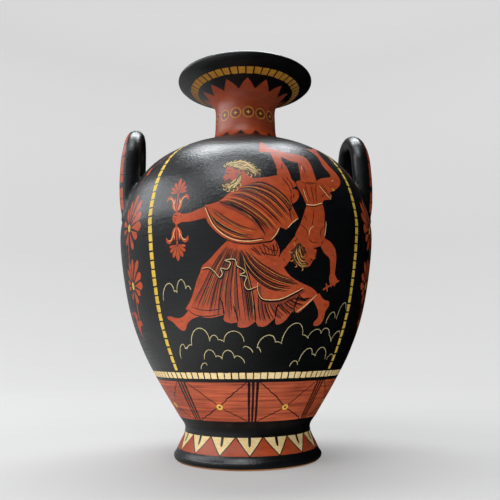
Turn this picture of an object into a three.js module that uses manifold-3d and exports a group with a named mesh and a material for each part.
import * as THREE from 'three';
import { mergeVertices } from 'three/addons/utils/BufferGeometryUtils.js';
import Module from 'manifold-3d';

// A painted clay vase with a ring foot, full shoulder, narrow neck, wide
// flaring lip and two upright loop handles. Millimetres, +Z up, underside on
// z = 0, axis of the body on the Z axis, handles at -X and +X.

// Driving dimensions
const totalHeight = 402;
const flatsAround = 52;
const wallThickness = 6.5;
const outlineSteps = 32;
const innerSteps = 18;

// Ring foot
const footRingInner = 60;
const footContactRadius = 71;
const footRimRadius = 74;
const footRimTopRadius = 70.6;
const footRimHeight = 11;
const footRimRound = 4;
const footRimWidestHeight = 4.5;
const recessDepth = 7;
const recessChamfer = 3;
const floorHeight = 14;
const floorRadius = 44;
const floorCorner = [7, 3];

// Outer outline above the foot rim, as radius and height
const waist = [63, 31];
const lowerSwell = [70.2, 43.5];
const lowerBody = [87.7, 72];
const middleBody = [105.4, 105];
const upperBody = [120.2, 146];
const belly = [131.6, 218];
const shoulderStart = [129.6, 240];
const shoulder = [121.6, 267];
const shoulderTurn = [104.4, 292.5];
const shoulderTop = [79.8, 310];
const neckRoot = [51.8, 322];
const neckFillet = [36.2, 331];
const neckWaist = [32.8, 354];
const neckFlare = [34.2, 372];
const lipUnderside = [43.2, 382];

// Flaring lip with a rounded edge
const lipRadius = 74;
const lipEdgeRadius = 2.6;
const lipSlope = 30;
const mouthRound = 0.8;

// Stretch of the outer line that the hollow follows, from floor to lip
const hollowStart = 0.09;
const hollowEnd = 0.975;

// Upright loop handles: an oval strap, deeper out from the axis than across,
// that leans in and thins towards the top of its arch
const handleSpan = 59;
const handleTop = 339.4;
const handleRootHeight = 228;
const handleHalfWidth = 7.75;
const handleHalfDepth = 10.2;
const archHalfDepth = 8.9;
const handleReach = [[114, 228], [119.4, 248], [121.2, 272], [120.6, 296], [117.9, 331]];
const handleThinning = [292, 331];
const handleSides = 7;
const handleSteps = 30;

const slip = { color: 0x25272b, roughness: 0.38, metalness: 0 };

const wasm = await Module();
wasm.setup();

function point([radius, height]) {
  return new THREE.Vector3(radius, height, 0);
}

// Points on a round corner, from one angle to another, given in degrees.
function corner(radius, height, size, fromAngle, toAngle, steps) {
  const points = [];
  for (let i = 0; i <= steps; i += 1) {
    const angle = THREE.MathUtils.degToRad(fromAngle + ((toAngle - fromAngle) * i) / steps);
    points.push([radius + size * Math.cos(angle), height + size * Math.sin(angle)]);
  }
  return points;
}

// The smooth outer line from the foot rim to the point where the lip's
// underside meets its rounded edge.
function outerCurve() {
  const underAngle = THREE.MathUtils.degToRad(lipSlope - 90);
  const edgeMeet = [
    lipRadius - lipEdgeRadius + lipEdgeRadius * Math.cos(underAngle),
    totalHeight - lipEdgeRadius + lipEdgeRadius * Math.sin(underAngle),
  ];
  const knots = [
    [footRimTopRadius, footRimHeight],
    waist,
    lowerSwell,
    lowerBody,
    middleBody,
    upperBody,
    belly,
    shoulderStart,
    shoulder,
    shoulderTurn,
    shoulderTop,
    neckRoot,
    neckFillet,
    neckWaist,
    neckFlare,
    lipUnderside,
    edgeMeet,
  ];
  return new THREE.CatmullRomCurve3(knots.map(point), false, 'centripetal');
}

// The foot's underside and its rounded rim, from the axis outwards.
function footOutline() {
  const rimCentre = footRimRadius - footRimRound;
  return [
    [0, recessDepth],
    [footRingInner - recessChamfer, recessDepth],
    [footRingInner, 0],
    [footContactRadius, 0],
    ...corner(rimCentre, footRimWidestHeight, footRimRound, -40, 55, 4),
  ];
}

// The whole vase as one filled shape, with no hollow yet.
function filledOutline(curve) {
  const body = curve.getPoints(outlineSteps).map((p) => [p.x, p.y]);
  const edgeCentre = [lipRadius - lipEdgeRadius, totalHeight - lipEdgeRadius];
  const edge = corner(...edgeCentre, lipEdgeRadius, -lipSlope, 90, 4);
  return [...footOutline(), ...body, ...edge, [0, totalHeight]];
}

// The hollow: the outer line moved inwards by the wall, on a rounded floor,
// opening through the mouth.
function hollowOutline(curve) {
  const wall = [];
  for (let i = 0; i <= innerSteps; i += 1) {
    const t = hollowStart + ((hollowEnd - hollowStart) * i) / innerSteps;
    const p = curve.getPoint(t);
    const tangent = curve.getTangent(t);
    wall.push([p.x - tangent.y * wallThickness, p.y + tangent.x * wallThickness]);
  }
  const floor = [
    [0, floorHeight],
    [floorRadius, floorHeight],
    [floorRadius + floorCorner[0], floorHeight + floorCorner[1]],
  ];
  const edgeTop = lipRadius - lipEdgeRadius - mouthRound;
  const mouth = [
    [edgeTop - 2 * mouthRound, totalHeight - mouthRound],
    [edgeTop, totalHeight],
    [edgeTop, totalHeight + wallThickness],
    [0, totalHeight + wallThickness],
  ];
  return [...floor, ...wall, ...mouth];
}

function turned(outline) {
  const profile = outline.map(([radius, height]) => new THREE.Vector2(radius, height));
  const geometry = new THREE.LatheGeometry(profile, flatsAround);
  geometry.rotateX(Math.PI / 2);
  return solid(geometry);
}

// How far the middle of the strap stands from the axis at a height.
function reachAt(height) {
  const line = new THREE.CatmullRomCurve3(handleReach.map(point), false, 'centripetal');
  const { clamp } = THREE.MathUtils;
  const [[, low]] = handleReach;
  const [, high] = handleReach.at(-1);
  let below = 0;
  let above = 1;
  for (let i = 0; i < 24; i += 1) {
    const middle = (below + above) / 2;
    if (line.getPoint(middle).y < clamp(height, low, high)) below = middle;
    else above = middle;
  }
  return line.getPoint(above).x;
}

// A loop standing upright beside the shoulder, from one root up over the
// arch and down to the other root.
function handle(side) {
  const arch = handleSpan / 2;
  const archHeight = handleTop - handleHalfWidth - arch;
  const points = [new THREE.Vector3(0, -arch, handleRootHeight)];
  const archSteps = 10;
  for (let i = 0; i <= archSteps; i += 1) {
    const angle = (Math.PI * i) / archSteps;
    points.push(new THREE.Vector3(0, -arch * Math.cos(angle), archHeight + arch * Math.sin(angle)));
  }
  points.push(new THREE.Vector3(0, arch, handleRootHeight));
  const line = new THREE.CatmullRomCurve3(points, false, 'centripetal');
  const section = new THREE.Shape();
  section.absellipse(0, 0, 1, handleHalfWidth, 0, 2 * Math.PI, false, 0);
  const geometry = new THREE.ExtrudeGeometry(section, {
    steps: handleSteps,
    curveSegments: handleSides,
    extrudePath: line,
  });
  const place = geometry.attributes.position;
  for (let i = 0; i < place.count; i += 1) {
    const height = place.getZ(i);
    const thinned = THREE.MathUtils.smoothstep(height, ...handleThinning);
    const halfDepth = THREE.MathUtils.lerp(handleHalfDepth, archHalfDepth, thinned);
    place.setX(i, side * reachAt(height) + place.getX(i) * halfDepth);
  }
  return solid(geometry);
}

// A closed mesh made ready for cutting and joining.
function solid(geometry) {
  geometry.deleteAttribute('normal');
  geometry.deleteAttribute('uv');
  const merged = mergeVertices(geometry, 1e-4);
  const mesh = new wasm.Mesh({
    numProp: 3,
    vertProperties: new Float32Array(merged.attributes.position.array),
    triVerts: new Uint32Array(merged.index.array),
  });
  return new wasm.Manifold(mesh);
}

function vaseGeometry() {
  const curve = outerCurve();
  const filled = turned(filledOutline(curve));
  const hollow = turned(hollowOutline(curve));
  const body = filled.add(handle(-1)).add(handle(1)).subtract(hollow);
  const mesh = body.getMesh();
  const geometry = new THREE.BufferGeometry();
  geometry.setAttribute('position', new THREE.BufferAttribute(mesh.vertProperties, 3));
  geometry.setIndex(new THREE.BufferAttribute(mesh.triVerts, 1));
  geometry.computeVertexNormals();
  return geometry;
}

const group = new THREE.Group();
const vase = new THREE.Mesh(vaseGeometry(), new THREE.MeshStandardMaterial(slip));
vase.name = 'vase';
group.add(vase);

export default group;
